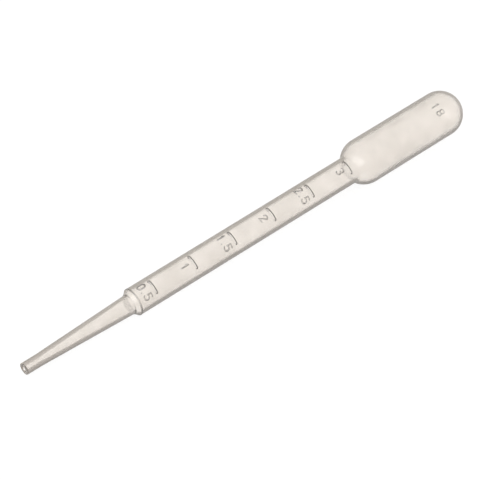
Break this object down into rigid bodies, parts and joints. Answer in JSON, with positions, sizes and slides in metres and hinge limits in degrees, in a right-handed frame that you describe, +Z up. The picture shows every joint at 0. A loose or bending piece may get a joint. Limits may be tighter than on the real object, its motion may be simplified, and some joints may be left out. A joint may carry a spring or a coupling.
{
  "type": "plastic dropper pipette",
  "caption": "One-piece graduated dropper pipette: thin tapered tip, round stem with raised half-millilitre bars and numbers, and a capsule-shaped squeeze bulb.",
  "frame": {"origin": "on the bench, under the middle of the overall length", "axes": "+X towards the bulb, along the length; +Z up, with the graduations turned 25 degrees from up towards -Y"},
  "size_m": [0.155, 0.0134, 0.0143],
  "materials": {
    "moulded_polyethylene": "blow-moulded low-density polyethylene, thin and see-through with a slight milky haze, satin gloss"
  },
  "bodies": {
    "root": {"dropper_pipette": "moulded_polyethylene"}
  },
  "joints": []
}
